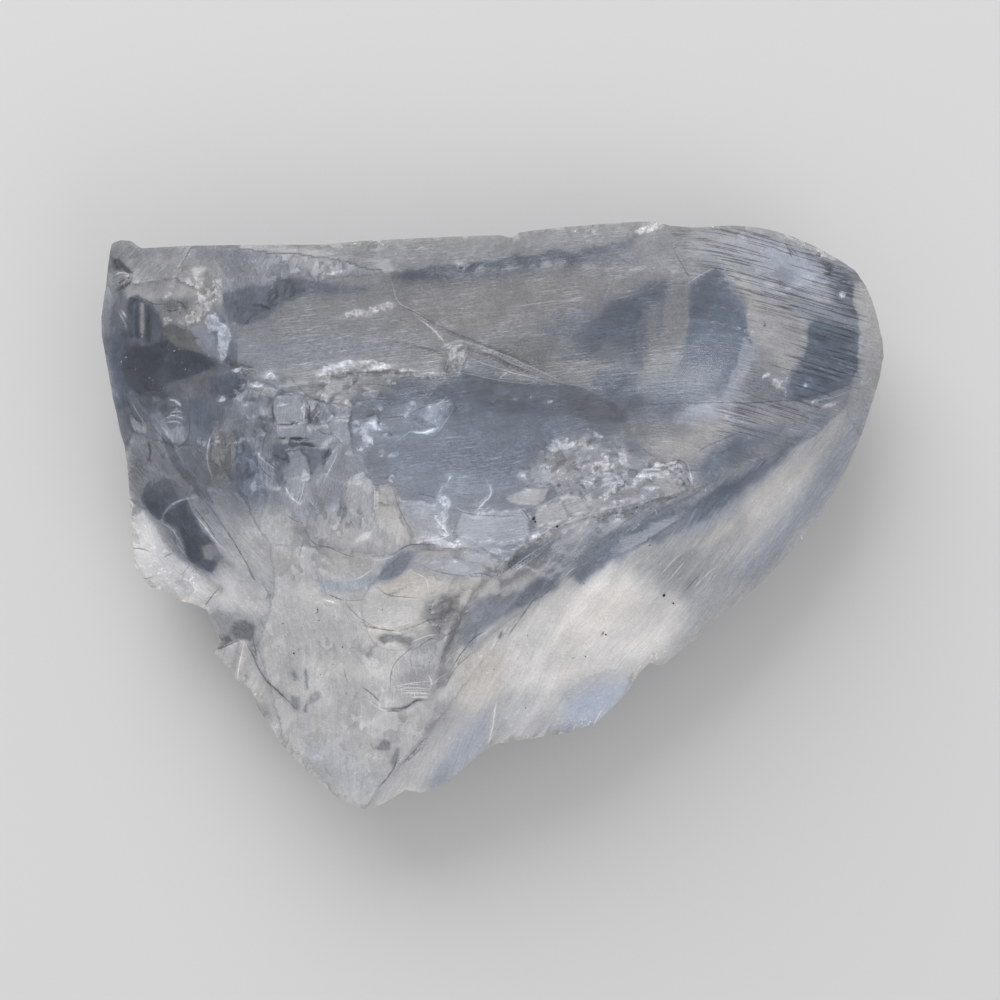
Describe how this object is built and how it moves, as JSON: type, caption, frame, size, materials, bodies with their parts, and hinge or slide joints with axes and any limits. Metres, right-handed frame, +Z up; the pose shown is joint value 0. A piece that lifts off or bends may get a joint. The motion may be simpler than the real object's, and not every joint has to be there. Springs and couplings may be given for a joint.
{
  "type": "petalite",
  "caption": "Broken lump of clear to milky petalite with shell-like fracture scars, sharp ridges and a long smooth bevel, lying on a flat cleavage face.",
  "frame": {"origin": "middle of the stone's bounding box in plan, at the height of the flat cleavage face it lies on", "axes": "+X along the stone's length towards its rounded nose, +Y towards its long straight back edge, +Z up"},
  "size_m": [0.05, 0.0376, 0.0146],
  "materials": {
    "petalite": "clear to milky crystal, vitreous on fresh fracture, frosted where it is crushed"
  },
  "bodies": {
    "root": {"petalite_stone": "petalite"}
  },
  "joints": []
}
